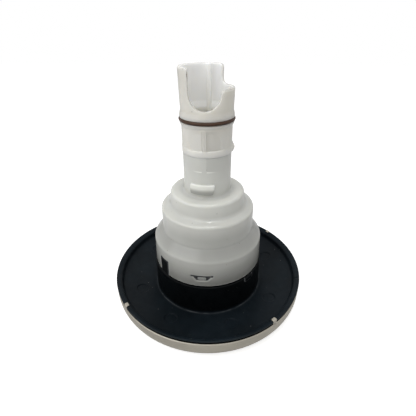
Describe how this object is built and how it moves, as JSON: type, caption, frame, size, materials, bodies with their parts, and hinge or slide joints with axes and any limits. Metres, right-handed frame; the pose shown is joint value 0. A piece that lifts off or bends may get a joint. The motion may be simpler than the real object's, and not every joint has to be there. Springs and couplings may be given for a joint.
{
  "type": "hot tub jet insert",
  "caption": "Insert of a rotary hot tub jet: stainless and black face plate, white stepped housing, ported inlet barrel with O-ring, and a bearing-mounted rotor with slanted outlets.",
  "frame": {"origin": "centre of the face plane, where the part rests face down", "axes": "+Z along the jet's axis from the face towards the water inlet; -Y is the side with the inlet port and the neck's lug"},
  "size_m": [0.127, 0.127, 0.1465],
  "materials": {
    "stainless_sheet": "brushed",
    "black_plastic": "satin moulded",
    "dark_plastic": "moulded",
    "white_plastic": "natural polypropylene, slightly translucent",
    "brown_rubber": "satin",
    "black_rubber": "satin",
    "grey_plastic": "moulded",
    "acetal": "satin",
    "race_plastic": "polished",
    "ball_steel": "polished",
    "clip_steel": "satin"
  },
  "bodies": {
    "insert": {"steel_trim": "stainless_sheet", "escutcheon": "black_plastic", "housing": "white_plastic", "inlet_barrel": "white_plastic", "barrel_o_ring": "brown_rubber", "venturi_nozzle": "grey_plastic", "nozzle_o_ring": "black_rubber", "diffuser": "grey_plastic", "wear_ring": "acetal", "bearing_carrier": "white_plastic", "bearing_outer_race": "race_plastic", "bearing_clip": "clip_steel"},
    "rotor": {"bearing_inner_race": "race_plastic", "rotor_clip": "clip_steel", "rotor_body": "dark_plastic", "rotor_face": "black_plastic", "outlet_nozzle_left": "grey_plastic", "outlet_nozzle_right": "grey_plastic", "rotor_cap": "stainless_sheet"},
    "ball_set": {"bearing_balls": "ball_steel", "bearing_cage": "acetal"}
  },
  "joints": [
    {"name": "rotor_spin", "type": "hinge", "parent": "insert", "child": "rotor", "pos_m": [0, 0, 0.0505], "axis": [0, 0, 1], "continuous": true},
    {"name": "cage_spin", "type": "hinge", "parent": "insert", "child": "ball_set", "pos_m": [0, 0, 0.0505], "axis": [0, 0, 1], "continuous": true}
  ],
  "couplings": [
    {"joint": "cage_spin", "follows": "rotor_spin", "ratio": 0.4172}
  ]
}
